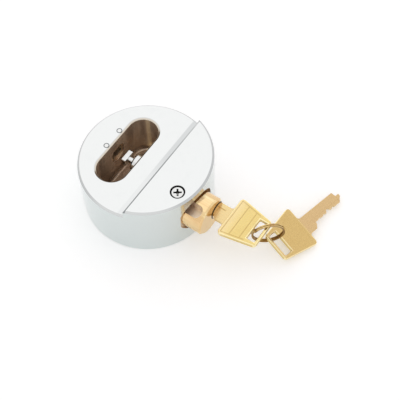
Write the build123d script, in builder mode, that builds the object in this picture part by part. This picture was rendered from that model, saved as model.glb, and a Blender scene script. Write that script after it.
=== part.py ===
from build123d import *
import math
import os

# A round puck padlock with a pull-out shackle plunger, two flat keys and a split ring.
# Sizes are in millimetres. The origin is the centre of the front face, on which the puck rests.
# +Z points out of the back, the side that lies against a hasp. +X is the way the plunger pulls out.
# The solids stand as the lock lies on a table: plunger part way out, a key in the plug.

# Puck
PUCK_D = 73.0
PUCK_H = 38.0
SEAT_DEPTH = 5.0            # the back is stepped: this much is cut away for the hasp plate
SEAT_EDGE_X = 10.8          # straight edge between the seat and the raised segment
RIM_CHAMFER = 1.1
FOOT_CHAMFER = 0.8

# Shackle slot in the seat
SLOT_L = 44.6
SLOT_W = 17.2
SLOT_X = -12.1
FRONT_WALL = 4.5            # metal left between the slot's floor and the front face
SLOT_FLOOR_R = 2.0
SLOT_RIM_CHAMFER = 1.0

# Plunger: a round carrier with the lock plug off its centre
AXIS_Z = 20.6
CARRIER_Y = -3.8
CARRIER_D = 21.8
CARRIER_FACE_X = 44.6
CARRIER_L = 34.8
CARRIER_EDGE = 1.0
PLUG_OFFSET = 5.3           # plug axis to carrier axis
TRAVEL_IN = 11.5
TRAVEL_OUT = 13.5
MOUTH_D = 25.3
MOUTH_DEPTH = 3.2

# Clearances
RUN_GAP = 0.06              # radial, between a round piece and the hole it runs in
END_GAP = 0.2               # endways, between pieces that must not touch
SLIP_GAP = 0.05             # each side of a flat piece in its slot

# Shackle pin and the tongue inside it
PIN_D = 11.0
PIN_TIP_X = -9.3
PIN_TIP_CHAMFER = 1.0
PIN_ROOT_D = 9.0
PIN_ROOT_L = 4.8
STEM_D = 3.8
STEM_GAP = 0.15
RIVET_D = 2.4
BAR_L = 7.6
BAR_H = 5.0
BAR_T = 2.5
BAR_X = -15.6
BAR_EDGE = 0.3
BAR_GAP = 0.2               # round the bar where it passes the keeper ring
DRIVE_DISC_D = 8.4
DRIVE_DISC_T = 1.9
DRIVE_T = 2.2
DRIVE_DEPTH = 1.3

# Keeper ring in the far wall, with a dowel down each side of it
KEEPER_SETBACK = 0.8
KEEPER_T = 2.8
SOCKET_CLEAR = 1.5          # from the bar's end to the socket's floor when locked
DOWEL_D = 2.8
DOWEL_OFFSET = 5.8
DOWEL_L = 16.0

# Stop screw, whose plain end runs in a slot of the carrier
SCREW_X = 27.5
SCREW_Y = -9.4
SCREW_HEAD_D = 7.0
SCREW_HEAD_H = 2.6
SCREW_SHANK_D = 5.0
SCREW_SINK = 0.4
SCREW_WELL_D = 8.0
SCREW_EDGE = 0.4
CROSS_L = 4.4
CROSS_W = 1.0
CROSS_DEPTH = 1.7
DOG_SLOT_W = 6.0
DOG_SLOT_RISE = 5.6         # slot floor above the carrier axis
DOG_SLOT_OUT_X = 42.4

# Plug and its pins
PLUG_D = 10.0
PLUG_PROUD = 0.4
PLUG_L = 26.0
PLUG_EDGE = 0.3
PLUG_WEB = 1.6              # wall of the carrier behind the plug
TAIL_D = 6.4
CLIP_T = 0.6
CLIP_D = 8.4
CLIP_GROOVE_D = 5.2
CLIP_MOUTH = 4.2
PIN_COUNT = 5
PIN_PITCH = 3.6
PIN_FIRST = 3.6             # from the plug's face to the first chamber
CHAMBER_D = 2.8
TUMBLER_GAP = 0.05
TUMBLER_TIP = 0.85
DRIVER_L = 3.6
CAP_T = 1.2
SPRING_WALL = 0.4

# Key
KEY_T = 2.0
BLADE_L = 22.2
BLADE_BACK = 4.6            # blade's back edge from the plug axis
BLADE_FRONT = 2.4           # blade's cut edge from the plug axis
TIP_BACK_L = 3.0            # how far the nose stands out past the blade's back
TIP_FRONT_L = 2.7           # and past its cut edge
NOSE_W = 1.6
NECK_FRONT = 5.6
NECK_STOP = 1.0             # height of the shoulder that meets the plug's face
NECK_BEVEL = 1.7
NECK_L = 7.0
NECK_R = 1.4
CUT_DEPTHS = (0.5, 0.6, 1.7, 0.9, 0.4)
CUT_FLAT = 1.2
GROOVE_DEPTH = 0.45
TOP_GROOVE_Y = 0.9
TOP_GROOVE_W = 2.0
TOP_GROOVE_RUN = 4.0        # how far the groove runs on over the neck
FOOT_GROOVE_Y = -0.8
FOOT_GROOVE_W = 1.4
FOOT_GROOVE_RUN = 4.7
BOW_T = 2.6
BOW_L = 21.4
BOW_INNER_W = 25.5
BOW_OUTER_W = 17.0
BOW_SHIFT = 0.6
BOW_R = 2.0
BOW_EDGE = 0.3
BOW_BAR = 1.5
BOW_SLOT_W = 4.9
BOW_SLOT_L = 13.4
BOW_SLOT_R = 0.9

# Split ring
RING_D = 18.0
RING_BAND = 1.0
RING_WIRE = 0.62
RING_PITCH = 1.05
RING_HALF_TURNS = 4
RING_CENTRE = (72.82, 7.74, 14.59)
RING_FACING = -47.05        # compass turn of the ring's axis from +X
RING_TIP = -0.6             # tilt of the ring's axis above level
RING_SEAM = 150.0           # turn of the wire's ends round the ring

# Spare key, lying beside the puck: middle of its bow's inner edge, and its three turns
SPARE_POINT = (83.29, 26.54, 4.9)
SPARE_YAW = 77.7
SPARE_PITCH = 4.8
SPARE_ROLL = 17.2

# Places worked out from the sizes above
puck_r = PUCK_D / 2
seat_z = PUCK_H - SEAT_DEPTH
slot_far_x = SLOT_X - SLOT_W / 2
plug_y = CARRIER_Y + PLUG_OFFSET
carrier_r = CARRIER_D / 2
carrier_back_x = CARRIER_FACE_X - CARRIER_L
bore_end_x = carrier_back_x - TRAVEL_IN - END_GAP
mouth_floor_x = math.sqrt(puck_r ** 2 - CARRIER_Y ** 2) - MOUTH_DEPTH
pin_hole_r = PIN_D / 2 + RUN_GAP
pin_root_x = carrier_back_x + PIN_ROOT_L
plug_face_x = CARRIER_FACE_X + PLUG_PROUD
plug_back_x = plug_face_x - PLUG_L
web_back_x = plug_back_x - PLUG_WEB
clip_back_x = web_back_x - CLIP_T
disc_front_x = pin_root_x + DRIVE_DISC_T
drive_floor_x = disc_front_x - DRIVE_DEPTH
drive_end_x = clip_back_x - SLIP_GAP
bar_back_x = BAR_X + BAR_T
keeper_front_x = slot_far_x - KEEPER_SETBACK
keeper_back_x = keeper_front_x - KEEPER_T
socket_floor_x = BAR_X - TRAVEL_IN - SOCKET_CLEAR
dog_floor_z = AXIS_Z + DOG_SLOT_RISE
dog_slot_in_x = SCREW_X - SCREW_SHANK_D / 2 - TRAVEL_OUT - END_GAP / 2
screw_top_z = PUCK_H - SCREW_SINK
screw_head_z = screw_top_z - SCREW_HEAD_H
dog_end_z = dog_floor_z + 2 * END_GAP
tumbler_r = CHAMBER_D / 2 - TUMBLER_GAP
shear_r = math.sqrt((PLUG_D / 2) ** 2 - tumbler_r ** 2)
driver_in_y = plug_y - PLUG_D / 2 - RUN_GAP
driver_out_y = driver_in_y - DRIVER_L
cap_in_y = CARRIER_Y - math.sqrt(carrier_r ** 2 - (CHAMBER_D / 2) ** 2) + RUN_GAP + CAP_T
chamber_floor_y = plug_y - BLADE_FRONT + max(CUT_DEPTHS) + TUMBLER_GAP
keyway_l = BLADE_L + END_GAP
keyway_side_y = plug_y - BLADE_FRONT - SLIP_GAP
rib_h = 2 * (GROOVE_DEPTH - SLIP_GAP)   # half of this stands out of the keyway's wall
pin_depths = [PIN_FIRST + PIN_PITCH * number for number in range(PIN_COUNT)]

chamber_places = [(plug_face_x - depth, AXIS_Z) for depth in pin_depths]
keeper_mid_x = (keeper_front_x + keeper_back_x) / 2
dowel_places = [(keeper_mid_x, plug_y + side * DOWEL_OFFSET) for side in (-1, 1)]


def plug_plane(x):
    """A plane square to X with its middle on the plug's axis; its own axes are Y and Z."""
    return Plane(origin=(x, plug_y, AXIS_Z), x_dir=(0, 1, 0), z_dir=(1, 0, 0))


def carrier_plane(x):
    """The same with its middle on the carrier's axis."""
    return Plane(origin=(x, CARRIER_Y, AXIS_Z), x_dir=(0, 1, 0), z_dir=(1, 0, 0))


def chamber_plane(y):
    """A plane square to the pin chambers; its own axes are X and Z, and it faces -Y."""
    return Plane.XZ.offset(-y)


os.makedirs("parts", exist_ok=True)

with BuildPart() as puck_body:
    with BuildSketch():
        Circle(puck_r)
    extrude(amount=PUCK_H)
    chamfer(puck_body.faces().sort_by(Axis.Z)[0].edges(), FOOT_CHAMFER)
    # seat for the hasp plate, cut as a straight step across the back
    with BuildSketch(Plane.XY.offset(seat_z)):
        with Locations((SEAT_EDGE_X - PUCK_D / 2, 0)):
            Rectangle(PUCK_D, 2 * PUCK_D)
    extrude(amount=2 * SEAT_DEPTH, mode=Mode.SUBTRACT)
    chamfer(puck_body.faces().sort_by(Axis.Z)[-1].edges(), RIM_CHAMFER)
    seat_face = puck_body.faces().filter_by(Plane.XY).sort_by(Axis.Z)[-2]
    chamfer(seat_face.edges().filter_by(GeomType.CIRCLE), RIM_CHAMFER)
    # blind shackle slot with a rounded floor
    with BuildSketch(Plane.XY.offset(FRONT_WALL)):
        with Locations((SLOT_X, 0)):
            SlotOverall(SLOT_L, SLOT_W, rotation=90)
    extrude(amount=PUCK_H, mode=Mode.SUBTRACT)
    slot_rim = puck_body.edges(Select.LAST).filter_by_position(Axis.Z, seat_z, PUCK_H)
    chamfer(slot_rim, SLOT_RIM_CHAMFER)
    slot_floor = puck_body.faces().filter_by(Plane.XY).sort_by(Axis.Z)[1]
    fillet(slot_floor.edges(), SLOT_FLOOR_R)
    # wide mouth and running bore for the carrier, drilled from the side
    with BuildSketch(carrier_plane(mouth_floor_x)):
        Circle(MOUTH_D / 2)
    extrude(amount=PUCK_D, mode=Mode.SUBTRACT)
    with BuildSketch(carrier_plane(bore_end_x)):
        Circle(carrier_r + RUN_GAP)
    extrude(amount=PUCK_D, mode=Mode.SUBTRACT)
    # one drill makes the pin's hole in the near wall and the socket in the far wall
    with BuildSketch(plug_plane(socket_floor_x)):
        Circle(pin_hole_r)
    extrude(amount=bore_end_x - socket_floor_x, mode=Mode.SUBTRACT)
    # stop screw's hole and head well, then the dowel holes beside the socket
    with BuildSketch(Plane.XY.offset(AXIS_Z)):
        with Locations((SCREW_X, SCREW_Y)):
            Circle(SCREW_SHANK_D / 2)
    extrude(amount=PUCK_H, mode=Mode.SUBTRACT)
    with BuildSketch(Plane.XY.offset(screw_head_z)):
        with Locations((SCREW_X, SCREW_Y)):
            Circle(SCREW_WELL_D / 2)
    extrude(amount=PUCK_H, mode=Mode.SUBTRACT)
    with BuildSketch(Plane.XY.offset(seat_z - DOWEL_L)):
        with Locations(*dowel_places):
            Circle(DOWEL_D / 2)
    extrude(amount=PUCK_H, mode=Mode.SUBTRACT)
puck_body.part.label = "puck_body"
export_step(puck_body.part, "parts/puck_body.step")

with BuildPart() as keeper_dowels:
    with BuildSketch(Plane.XY.offset(seat_z - DOWEL_L)):
        with Locations(*dowel_places):
            Circle(DOWEL_D / 2)
    extrude(amount=DOWEL_L)
keeper_dowels.part.label = "keeper_dowels"
export_step(keeper_dowels.part, "parts/keeper_dowels.step")

# The keyed window lets only a level bar pass, and the stem turns in its round middle.
with BuildPart() as keeper_ring:
    with BuildSketch(plug_plane(keeper_back_x)):
        Circle(pin_hole_r)
        Rectangle(BAR_L + 2 * BAR_GAP, BAR_H + 2 * BAR_GAP, mode=Mode.SUBTRACT)
        Circle(STEM_D / 2 + STEM_GAP, mode=Mode.SUBTRACT)
    extrude(amount=KEEPER_T)
    with BuildSketch():
        with Locations(*dowel_places):
            Circle(DOWEL_D / 2)
    extrude(amount=PUCK_H, mode=Mode.SUBTRACT)
keeper_ring.part.label = "keeper_ring"
export_step(keeper_ring.part, "parts/keeper_ring.step")

with BuildPart() as stop_screw:
    with BuildSketch(Plane.XY.offset(screw_head_z)):
        with Locations((SCREW_X, SCREW_Y)):
            Circle(SCREW_HEAD_D / 2)
    extrude(amount=SCREW_HEAD_H)
    chamfer(stop_screw.faces().sort_by(Axis.Z)[-1].edges(), SCREW_EDGE)
    with BuildSketch(Plane.XY.offset(dog_end_z)):
        with Locations((SCREW_X, SCREW_Y)):
            Circle(SCREW_SHANK_D / 2)
    extrude(amount=screw_head_z - dog_end_z)
    # cross recess, with a rounded pit where its arms meet
    with BuildSketch(Plane.XY.offset(screw_top_z - CROSS_DEPTH)):
        with Locations((SCREW_X, SCREW_Y)):
            Rectangle(CROSS_L, CROSS_W)
            Rectangle(CROSS_W, CROSS_L)
            Circle(CROSS_W)
    extrude(amount=SCREW_HEAD_H, mode=Mode.SUBTRACT)
stop_screw.part.label = "stop_screw"
export_step(stop_screw.part, "parts/stop_screw.step")

with BuildPart() as plunger_carrier:
    with BuildSketch(carrier_plane(carrier_back_x)):
        Circle(carrier_r)
    extrude(amount=CARRIER_L)
    chamfer(plunger_carrier.faces().sort_by(Axis.X)[-1].edges(), CARRIER_EDGE)
    # plug bore from the face, a web for the plug's tail, and the shackle pin's seat from behind
    with BuildSketch(plug_plane(plug_back_x)):
        Circle(PLUG_D / 2 + RUN_GAP)
    extrude(amount=PLUG_L, mode=Mode.SUBTRACT)
    with BuildSketch(plug_plane(web_back_x)):
        Circle(TAIL_D / 2 + RUN_GAP)
    extrude(amount=PLUG_WEB, mode=Mode.SUBTRACT)
    with BuildSketch(plug_plane(carrier_back_x)):
        Circle(PIN_ROOT_D / 2)
    extrude(amount=web_back_x - carrier_back_x, mode=Mode.SUBTRACT)
    # pin chambers, drilled from the thick side to the plug bore
    with BuildSketch(chamber_plane(plug_y)):
        with Locations(*chamber_places):
            Circle(CHAMBER_D / 2)
    extrude(amount=CARRIER_D, mode=Mode.SUBTRACT)
    # milled slot in which the stop screw's end runs
    with BuildSketch(Plane.XY.offset(dog_floor_z)):
        with Locations(((dog_slot_in_x + DOG_SLOT_OUT_X) / 2, SCREW_Y)):
            SlotOverall(DOG_SLOT_OUT_X - dog_slot_in_x, DOG_SLOT_W)
    extrude(amount=CARRIER_D, mode=Mode.SUBTRACT)
plunger_carrier.part.label = "plunger_carrier"
export_step(plunger_carrier.part, "parts/plunger_carrier.step")

with BuildPart() as shackle_pin:
    with BuildSketch(plug_plane(PIN_TIP_X)):
        Circle(PIN_D / 2)
    extrude(amount=carrier_back_x - PIN_TIP_X)
    chamfer(shackle_pin.faces().sort_by(Axis.X)[0].edges(), PIN_TIP_CHAMFER)
    with BuildSketch(plug_plane(carrier_back_x)):
        Circle(PIN_ROOT_D / 2)
    extrude(amount=PIN_ROOT_L)
    with BuildSketch(plug_plane(PIN_TIP_X)):
        Circle(STEM_D / 2 + STEM_GAP)
    extrude(amount=pin_root_x - PIN_TIP_X, mode=Mode.SUBTRACT)
shackle_pin.part.label = "shackle_pin"
export_step(shackle_pin.part, "parts/shackle_pin.step")

with BuildPart() as tongue_stem:
    with BuildSketch(plug_plane(bar_back_x)):
        Circle(STEM_D / 2)
    extrude(amount=pin_root_x - bar_back_x)
    # riveted end, flush with the bar's front
    with BuildSketch(plug_plane(BAR_X)):
        Circle(RIVET_D / 2)
    extrude(amount=BAR_T)
    with BuildSketch(plug_plane(pin_root_x)):
        Circle(DRIVE_DISC_D / 2)
    extrude(amount=DRIVE_DISC_T)
    with BuildSketch(plug_plane(drive_floor_x)):
        Rectangle(2 * DRIVE_DISC_D, DRIVE_T + 2 * SLIP_GAP)
    extrude(amount=DRIVE_DISC_T, mode=Mode.SUBTRACT)
tongue_stem.part.label = "tongue_stem"
export_step(tongue_stem.part, "parts/tongue_stem.step")

with BuildPart() as tongue_bar:
    with BuildSketch(plug_plane(BAR_X)):
        Rectangle(BAR_L, BAR_H)
    extrude(amount=BAR_T)
    chamfer(tongue_bar.edges().filter_by(Axis.X), BAR_EDGE)
    with BuildSketch(plug_plane(BAR_X)):
        Circle(RIVET_D / 2)
    extrude(amount=BAR_T, mode=Mode.SUBTRACT)
tongue_bar.part.label = "tongue_bar"
export_step(tongue_bar.part, "parts/tongue_bar.step")

with BuildPart() as plug:
    with BuildSketch(plug_plane(plug_back_x)):
        Circle(PLUG_D / 2)
    extrude(amount=PLUG_L)
    chamfer(plug.faces().sort_by(Axis.X)[-1].edges(), PLUG_EDGE)
    with BuildSketch(plug_plane(web_back_x)):
        Circle(TAIL_D / 2)
    extrude(amount=PLUG_WEB)
    with BuildSketch(plug_plane(drive_end_x)):
        Circle(CLIP_GROOVE_D / 2)
    extrude(amount=web_back_x - drive_end_x)
    # flat drive on the tail's end, which turns the tongue
    with BuildSketch(plug_plane(drive_floor_x + SLIP_GAP)):
        Circle(TAIL_D / 2)
        Rectangle(TAIL_D, DRIVE_T, mode=Mode.INTERSECT)
    extrude(amount=drive_end_x - drive_floor_x - SLIP_GAP)
    # keyway, open along the plug's back, with a rib in each groove of the key
    with BuildSketch(plug_plane(plug_face_x - keyway_l)):
        with Locations((keyway_side_y - plug_y + PLUG_D / 2, 0)):
            Rectangle(PLUG_D, KEY_T + 2 * SLIP_GAP)
        with Locations((TOP_GROOVE_Y, KEY_T / 2 + SLIP_GAP)):
            Rectangle(TOP_GROOVE_W - 4 * SLIP_GAP, rib_h, mode=Mode.SUBTRACT)
        with Locations((FOOT_GROOVE_Y, -KEY_T / 2 - SLIP_GAP)):
            Rectangle(FOOT_GROOVE_W - 4 * SLIP_GAP, rib_h, mode=Mode.SUBTRACT)
    extrude(amount=keyway_l, mode=Mode.SUBTRACT)
    with BuildSketch(chamber_plane(chamber_floor_y)):
        with Locations(*chamber_places):
            Circle(CHAMBER_D / 2)
    extrude(amount=PLUG_D, mode=Mode.SUBTRACT)
plug.part.label = "plug"
export_step(plug.part, "parts/plug.step")

with BuildPart() as plug_clip:
    with BuildSketch(plug_plane(clip_back_x)):
        Circle(CLIP_D / 2)
        Circle(CLIP_GROOVE_D / 2, mode=Mode.SUBTRACT)
        with Locations((0, -CLIP_D / 2)):
            Rectangle(CLIP_MOUTH, CLIP_D, mode=Mode.SUBTRACT)
    extrude(amount=CLIP_T)
plug_clip.part.label = "plug_clip"
export_step(plug_clip.part, "parts/plug_clip.step")

# Each key pin's point sits in the key's cut, and its flat end is just inside the shear line.
for number, cut_depth in enumerate(CUT_DEPTHS):
    with BuildPart() as key_pin:
        with BuildSketch(chamber_plane(plug_y - BLADE_FRONT + cut_depth)):
            with Locations(chamber_places[number]):
                Circle(tumbler_r)
        extrude(amount=shear_r - BLADE_FRONT + cut_depth)
        chamfer(key_pin.faces().sort_by(Axis.Y)[-1].edges(), TUMBLER_TIP)
    key_pin.part.label = f"key_pin_{number + 1}"
    export_step(key_pin.part, f"parts/key_pin_{number + 1}.step")

with BuildPart() as driver_pins:
    with BuildSketch(chamber_plane(driver_in_y)):
        with Locations(*chamber_places):
            Circle(tumbler_r)
    extrude(amount=DRIVER_L)
driver_pins.part.label = "driver_pins"
export_step(driver_pins.part, "parts/driver_pins.step")

with BuildPart() as pin_springs:
    with BuildSketch(chamber_plane(driver_out_y)):
        with Locations(*chamber_places):
            Circle(tumbler_r - TUMBLER_GAP)
            Circle(tumbler_r - TUMBLER_GAP - SPRING_WALL, mode=Mode.SUBTRACT)
    extrude(amount=driver_out_y - cap_in_y)
pin_springs.part.label = "pin_springs"
export_step(pin_springs.part, "parts/pin_springs.step")

with BuildPart() as chamber_caps:
    with BuildSketch(chamber_plane(cap_in_y)):
        with Locations(*chamber_places):
            Circle(CHAMBER_D / 2)
    extrude(amount=CAP_T)
chamber_caps.part.label = "chamber_caps"
export_step(chamber_caps.part, "parts/chamber_caps.step")


def flat_key(plane):
    """A key on a plane whose origin is on the plug axis at the plug's face.

    The plane's x runs out to the bow, and the cuts are on its -y side.
    """
    through = Axis(plane.origin, plane.z_dir)
    bow_end = NECK_L + BOW_L
    with BuildPart() as key:
        # bow, thicker than the blade, with its ring slot and every edge broken
        with BuildSketch(plane) as bow:
            with BuildLine():
                Polyline(
                    (NECK_L, BOW_SHIFT - BOW_INNER_W / 2),
                    (bow_end, BOW_SHIFT - BOW_OUTER_W / 2),
                    (bow_end, BOW_SHIFT + BOW_OUTER_W / 2),
                    (NECK_L, BOW_SHIFT + BOW_INNER_W / 2),
                    close=True,
                )
            make_face()
            fillet(bow.vertices(), BOW_R)
            with Locations((bow_end - BOW_BAR - BOW_SLOT_W / 2, BOW_SHIFT)):
                RectangleRounded(BOW_SLOT_W, BOW_SLOT_L, BOW_SLOT_R, mode=Mode.SUBTRACT)
        extrude(amount=BOW_T / 2, both=True)
        bow_faces = key.faces().sort_by(through)
        chamfer(bow_faces[0].edges() + bow_faces[-1].edges(), BOW_EDGE)
        # neck, with the shoulder that stops at the plug's face, flared where it joins the bow
        with BuildSketch(plane) as neck:
            with BuildLine():
                Polyline(
                    (0, -BLADE_FRONT - NECK_STOP),
                    (NECK_BEVEL, -NECK_FRONT),
                    (NECK_L, -NECK_FRONT),
                    (NECK_L, -NECK_FRONT - NECK_R),
                    (NECK_L + NECK_R, -NECK_FRONT - NECK_R),
                    (NECK_L + NECK_R, BLADE_BACK + NECK_R),
                    (NECK_L, BLADE_BACK + NECK_R),
                    (NECK_L, BLADE_BACK),
                    (0, BLADE_BACK),
                    close=True,
                )
            make_face()
            neck_roots = neck.vertices().filter_by_position(Axis.X, NECK_L - 0.01, NECK_L + 0.01)
            neck_roots = neck_roots.filter_by_position(Axis.Y, -NECK_FRONT - 0.01, BLADE_BACK + 0.01)
            fillet(neck_roots, 0.98 * NECK_R)
        extrude(amount=KEY_T / 2, both=True)
        # blade, with its stepped nose and a V cut for each pin
        with BuildSketch(plane):
            with BuildLine():
                Polyline(
                    (0, -BLADE_FRONT),
                    (TIP_FRONT_L - BLADE_L, -BLADE_FRONT),
                    (-BLADE_L, TIP_FRONT_L - BLADE_FRONT),
                    (-BLADE_L, TIP_FRONT_L - BLADE_FRONT + NOSE_W),
                    (TIP_BACK_L * 0.75 - BLADE_L, TIP_FRONT_L - BLADE_FRONT + NOSE_W),
                    (TIP_BACK_L - BLADE_L, BLADE_BACK),
                    (0, BLADE_BACK),
                    close=True,
                )
            make_face()
            for depth, cut_depth in zip(pin_depths, CUT_DEPTHS):
                with BuildLine():
                    Polyline(
                        (-depth - CUT_FLAT / 2 - cut_depth, -BLADE_FRONT),
                        (-depth - CUT_FLAT / 2, cut_depth - BLADE_FRONT),
                        (-depth + CUT_FLAT / 2, cut_depth - BLADE_FRONT),
                        (-depth + CUT_FLAT / 2 + cut_depth, -BLADE_FRONT),
                        close=True,
                    )
                make_face(mode=Mode.SUBTRACT)
        extrude(amount=KEY_T / 2, both=True)
        # one groove along each side
        with BuildSketch(plane.offset(KEY_T / 2 - GROOVE_DEPTH)):
            with Locations(((TOP_GROOVE_RUN - BLADE_L) / 2, TOP_GROOVE_Y)):
                Rectangle(BLADE_L + TOP_GROOVE_RUN, TOP_GROOVE_W)
        extrude(amount=KEY_T, mode=Mode.SUBTRACT)
        with BuildSketch(plane.offset(GROOVE_DEPTH - KEY_T / 2)):
            with Locations(((FOOT_GROOVE_RUN - BLADE_L) / 2, FOOT_GROOVE_Y)):
                Rectangle(BLADE_L + FOOT_GROOVE_RUN, FOOT_GROOVE_W)
        extrude(amount=-KEY_T, mode=Mode.SUBTRACT)
    return key


plug_key = flat_key(Plane(origin=(plug_face_x, plug_y, AXIS_Z), x_dir=(1, 0, 0), z_dir=(0, 0, 1)))
plug_key.part.label = "plug_key"
export_step(plug_key.part, "parts/plug_key.step")

spare_in = Vector(1, 0, 0).rotate(Axis.Y, SPARE_PITCH).rotate(Axis.Z, SPARE_YAW)
spare_up = Vector(0, 0, 1).rotate(Axis.X, SPARE_ROLL).rotate(Axis.Y, SPARE_PITCH)
spare_up = spare_up.rotate(Axis.Z, SPARE_YAW)
spare_side = spare_up.cross(spare_in)
spare_origin = Vector(*SPARE_POINT) + spare_in * NECK_L - spare_side * BOW_SHIFT
spare_key = flat_key(Plane(origin=spare_origin, x_dir=spare_in * -1, z_dir=spare_up * -1))
spare_key.part.label = "spare_key"
export_step(spare_key.part, "parts/spare_key.step")

# Split ring: flat wire in half turns that climb a little each, so that its coils lie side by side.
ring_axis = Vector(1, 0, 0).rotate(Axis.Y, -RING_TIP).rotate(Axis.Z, RING_FACING)
ring_level = Vector(0, 1, 0).rotate(Axis.Z, RING_FACING)
ring_plane = Plane(origin=RING_CENTRE, x_dir=ring_level, z_dir=ring_axis)
ring_mid_r = (RING_D - RING_BAND) / 2
quarter_climb = RING_PITCH / 4
wire_points = []
for quarter in range(2 * RING_HALF_TURNS + 1):
    turn = math.radians(RING_SEAM + 90 * quarter)
    rise = (quarter - RING_HALF_TURNS) * quarter_climb
    wire_points.append((ring_mid_r * math.cos(turn), ring_mid_r * math.sin(turn), rise))
with BuildPart() as split_ring:
    with BuildLine(ring_plane) as ring_wire:
        for half in range(RING_HALF_TURNS):
            ThreePointArc(*wire_points[2 * half:2 * half + 3])
    wire_start = Plane(origin=ring_wire.line @ 0, x_dir=ring_axis, z_dir=ring_wire.line % 0)
    with BuildSketch(wire_start):
        Rectangle(RING_WIRE, RING_BAND)
    sweep()
split_ring.part.label = "split_ring"
export_step(split_ring.part, "parts/split_ring.step")

# Least gap of the ring's wire to itself, measured between points one turn apart and more
ring_samples = [ring_plane.to_local_coords(ring_wire.line @ (step / 160)) for step in range(161)]
turn_steps = round(160 * 2 / RING_HALF_TURNS)
least_gap = min(
    abs(near.Z - far.Z) - RING_WIRE
    for step, near in enumerate(ring_samples)
    for far in ring_samples[step + turn_steps - 8:]
    if math.hypot(near.X - far.X, near.Y - far.Y) < RING_BAND
)
print("split ring: least gap of the wire to itself is", round(least_gap, 3), "mm")
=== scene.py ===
"""Dresses a round puck padlock, its plunger part way out and two keys on a split ring, on its CAD frame."""

import logging
import math
from dataclasses import dataclass
from enum import Enum

import bmesh
import bpy
from mathutils import Euler, Matrix, Quaternion, Vector


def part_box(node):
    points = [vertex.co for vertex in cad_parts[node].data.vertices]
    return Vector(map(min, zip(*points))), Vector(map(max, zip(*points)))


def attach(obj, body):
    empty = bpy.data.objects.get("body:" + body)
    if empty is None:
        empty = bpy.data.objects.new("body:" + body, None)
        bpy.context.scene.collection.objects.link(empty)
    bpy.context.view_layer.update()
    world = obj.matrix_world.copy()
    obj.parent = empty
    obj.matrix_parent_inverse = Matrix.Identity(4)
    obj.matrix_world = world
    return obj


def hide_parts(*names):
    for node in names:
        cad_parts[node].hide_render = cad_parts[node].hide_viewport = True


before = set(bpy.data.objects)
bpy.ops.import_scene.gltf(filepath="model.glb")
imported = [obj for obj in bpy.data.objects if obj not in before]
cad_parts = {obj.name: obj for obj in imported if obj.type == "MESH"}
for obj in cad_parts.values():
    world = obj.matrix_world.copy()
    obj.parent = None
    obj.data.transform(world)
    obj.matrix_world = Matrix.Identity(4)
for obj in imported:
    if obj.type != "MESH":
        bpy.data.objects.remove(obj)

MM = 0.001
log = logging.getLogger("puck_padlock")

Colour = tuple[float, float, float]
Point = tuple[float, float, float]
Angles = tuple[float, float, float]
Span = tuple[float, float]
Strip = tuple[float, float, float]
Paint = bpy.types.NodeSocket | Colour

# how far the edge of a mask takes to fade, in millimetres, and a sharper one
SOFT = 0.1
HAIR = 0.05


class Signal:
    """A number that varies over a surface, and adds its own Math nodes where it is used in an expression."""

    def __init__(self, graph: "Graph", socket: bpy.types.NodeSocket) -> None:
        """Wraps one output socket of a graph."""
        self.graph = graph
        self.socket = socket

    def _math(self, operation: str, first: "Signal | float", second: "Signal | float" = 0.0) -> "Signal":
        """Adds one Math node, by Blender's name of its operation."""
        node = self.graph.node("ShaderNodeMath", {"operation": operation}, {0: first, 1: second})
        return Signal(self.graph, node.outputs[0])

    def __add__(self, other: "Signal | float") -> "Signal":
        """This plus another."""
        return self._math("ADD", self, other)

    def __radd__(self, other: float) -> "Signal":
        """A number plus this."""
        return self._math("ADD", other, self)

    def __sub__(self, other: "Signal | float") -> "Signal":
        """This less another."""
        return self._math("SUBTRACT", self, other)

    def __rsub__(self, other: float) -> "Signal":
        """A number less this."""
        return self._math("SUBTRACT", other, self)

    def __mul__(self, other: "Signal | float") -> "Signal":
        """This times another."""
        return self._math("MULTIPLY", self, other)

    def __rmul__(self, other: float) -> "Signal":
        """A number times this."""
        return self._math("MULTIPLY", other, self)

    def __abs__(self) -> "Signal":
        """This without its sign."""
        return self._math("ABSOLUTE", self)

    def root(self) -> "Signal":
        """The square root."""
        return self._math("SQRT", self)

    def sine(self) -> "Signal":
        """The sine of this in radians."""
        return self._math("SINE", self)

    def or_more(self, other: "Signal | float") -> "Signal":
        """The greater of this and another."""
        return self._math("MAXIMUM", self, other)

    def rise(self, start: float, end: float) -> "Signal":
        """A smooth step.

        Args:
            start: The value up to which the result is 0.
            end: The value from which the result is 1.

        Returns:
            The step as a signal from 0 to 1.
        """
        settings = {"interpolation_type": "SMOOTHSTEP"}
        node = self.graph.node("ShaderNodeMapRange", settings, {0: self, 1: start, 2: end, 3: 0.0, 4: 1.0})
        return Signal(self.graph, node.outputs[0])

    def fall(self, start: float, end: float) -> "Signal":
        """A smooth step down, from 1 at start to 0 at end."""
        return 1.0 - self.rise(start, end)

    def over(self, limit: float, soft: float = SOFT) -> "Signal":
        """1 from the limit up, fading to 0 just below it."""
        return self.rise(limit - soft, limit)

    def under(self, limit: float, soft: float = SOFT) -> "Signal":
        """1 up to the limit, fading to 0 just above it."""
        return self.fall(limit, limit + soft)

    def band(self, middle: float, half: float, soft: float) -> "Signal":
        """1 within half a width of the middle, fading to 0 beyond it."""
        return abs(self - middle).fall(half, half + soft)


@dataclass(frozen=True)
class Ramp:
    """A share that changes smoothly with a value.

    Attributes:
        start: The value up to which it is the first share.
        end: The value from which it is the last share.
        first: The first share.
        last: The last share.
    """

    start: float
    end: float
    first: float
    last: float

    def of(self, value: Signal) -> Signal:
        """The share at a value."""
        return self.first + (self.last - self.first) * value.rise(self.start, self.end)


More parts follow.
